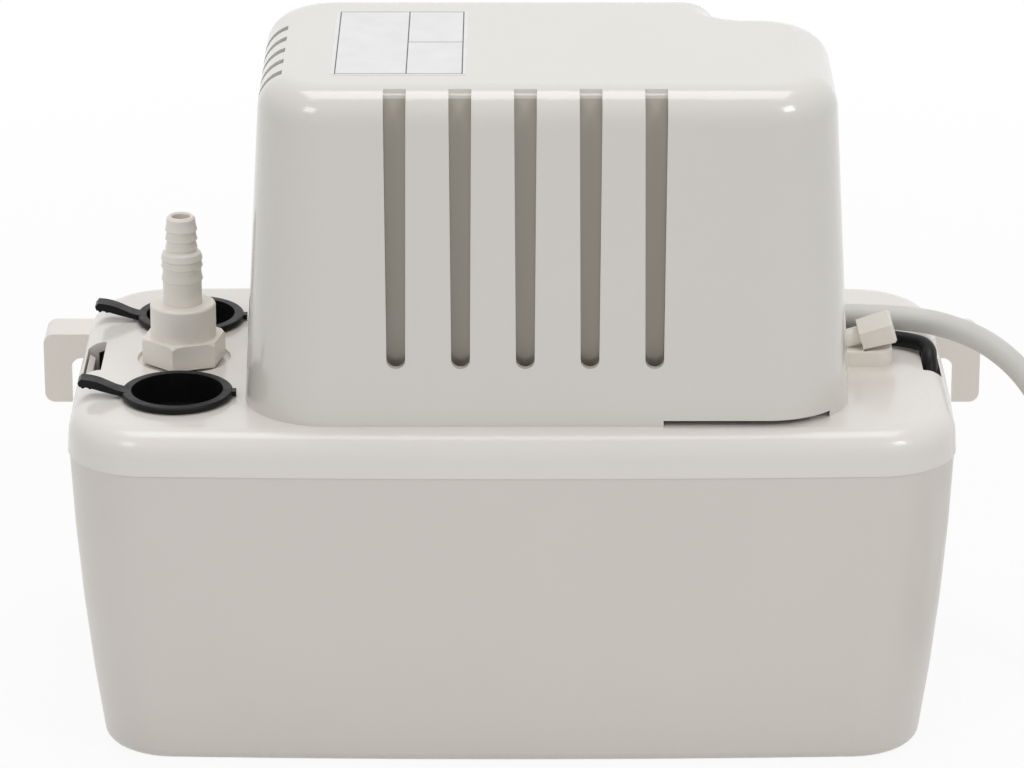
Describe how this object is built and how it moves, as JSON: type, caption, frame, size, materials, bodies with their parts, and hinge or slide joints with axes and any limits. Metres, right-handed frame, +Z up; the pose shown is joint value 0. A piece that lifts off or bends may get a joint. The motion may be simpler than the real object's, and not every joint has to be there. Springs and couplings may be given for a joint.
{
  "type": "condensate pump",
  "caption": "Tank-type condensate pump: tapered reservoir, lid with plugged inlets and a check valve, vented motor cover, float switch and a centrifugal pump inside",
  "frame": {"origin": "middle of the tank's base, on the floor", "axes": "+X towards the cord end, +Y towards the wall (rear), +Z up; the front faces -Y"},
  "size_m": [0.4651, 0.2171, 0.22],
  "materials": {
    "housing": "satin",
    "lid_ivory": "satin",
    "cover_white": "satin",
    "fitting": "satin",
    "gland": "satin",
    "black_rubber": "matt",
    "cord_grey": "satin",
    "lead_black": "satin",
    "pump_plastic": "moulded",
    "hose": "clear grey",
    "laminations": "laminated",
    "zinc_steel": "zinc plated",
    "stainless": "ground",
    "bronze": "sintered",
    "copper": "bare",
    "coil_wrap": "taped",
    "bobbin_nylon": "natural",
    "float_foam": "moulded",
    "inner_plastic": "natural",
    "switch_black": "moulded",
    "wires": "insulated"
  },
  "bodies": {
    "housing": {"tank": "housing", "left_hanging_lug": "housing", "right_hanging_lug": "housing", "lid": "lid_ivory", "motor_cover": "cover_white", "check_valve_body": "fitting", "hose_tail": "fitting", "gland_block": "gland", "gland_nut": "gland", "valve_seal": "black_rubber", "cord_bushing": "black_rubber", "mains_cord": "cord_grey", "cord_coil": "cord_grey", "cord_end": "cord_grey", "cord_inner_end": "cord_grey", "mains_plug": "cord_grey", "alarm_lead": "lead_black", "pump_column": "pump_plastic", "volute_cover": "pump_plastic", "volute": "pump_plastic", "inlet_strainer": "pump_plastic", "discharge_hose": "hose", "stator_core": "laminations", "core_bar": "laminations", "upper_bearing_strap": "zinc_steel", "lower_bearing_strap": "zinc_steel", "strap_screws": "zinc_steel", "motor_bolts": "zinc_steel", "column_screws": "zinc_steel", "cover_screws": "zinc_steel", "switch_screws": "zinc_steel", "switch_bracket": "zinc_steel", "clamp_screw": "zinc_steel", "float_pin": "stainless", "shaft_bearings": "bronze", "switch_terminals": "bronze", "shading_rings": "copper", "winding": "coil_wrap", "bobbin": "bobbin_nylon", "terminal_block": "bobbin_nylon", "cord_clamp": "bobbin_nylon", "float_bracket": "inner_plastic", "safety_bracket": "inner_plastic", "safety_stem": "inner_plastic", "switch_body": "switch_black", "inner_leads": "wires"},
    "rotor": {"motor_shaft": "stainless", "motor_rotor": "laminations", "cooling_fan": "pump_plastic", "water_slinger": "pump_plastic", "impeller": "pump_plastic"},
    "float_swing": {"float_arm": "inner_plastic", "float": "float_foam"},
    "switch_rod": {"float_rod": "stainless"},
    "lever": {"switch_lever": "stainless"},
    "plunger": {"switch_plunger": "switch_black"},
    "safety_float": {"safety_ring_float": "float_foam"},
    "valve_ball": {"check_ball": "stainless"},
    "front_plug": {"front_inlet_plug": "black_rubber"},
    "rear_plug": {"rear_inlet_plug": "black_rubber"}
  },
  "joints": [
    {"name": "rotor_spin", "type": "hinge", "parent": "housing", "child": "rotor", "pos_m": [0.004, -0.016, 0.15], "axis": [0, 0, 1], "continuous": true},
    {"name": "float_swing", "type": "hinge", "parent": "housing", "child": "float_swing", "pos_m": [0.05, 0, 0.084], "axis": [0, -1, 0], "range_deg": [0, 30]},
    {"name": "rod_lift", "type": "slide", "parent": "housing", "child": "switch_rod", "axis": [0, 0, 1], "range_m": [0, 0.0047]},
    {"name": "lever_swing", "type": "hinge", "parent": "housing", "child": "lever", "pos_m": [0.07869, 0, 0.131], "axis": [0, 1, 0], "range_deg": [0, 13.5]},
    {"name": "plunger_travel", "type": "slide", "parent": "housing", "child": "plunger", "axis": [0, 0, 1], "range_m": [0, 0.0017]},
    {"name": "safety_float_travel", "type": "slide", "parent": "housing", "child": "safety_float", "axis": [0, 0, 1], "range_m": [0, 0.01]},
    {"name": "ball_lift", "type": "slide", "parent": "housing", "child": "valve_ball", "axis": [0, 0, 1], "range_m": [0, 0.003]},
    {"name": "front_plug_pull", "type": "slide", "parent": "housing", "child": "front_plug", "axis": [0, 0, 1], "range_m": [0, 0.022]},
    {"name": "rear_plug_pull", "type": "slide", "parent": "housing", "child": "rear_plug", "axis": [0, 0, 1], "range_m": [0, 0.022]}
  ],
  "couplings": [
    {"joint": "rod_lift", "follows": "float_swing", "m_per_rad": 0.0089},
    {"joint": "lever_swing", "follows": "float_swing", "ratio": 0.4453},
    {"joint": "plunger_travel", "follows": "float_swing", "m_per_rad": 0.00298}
  ]
}
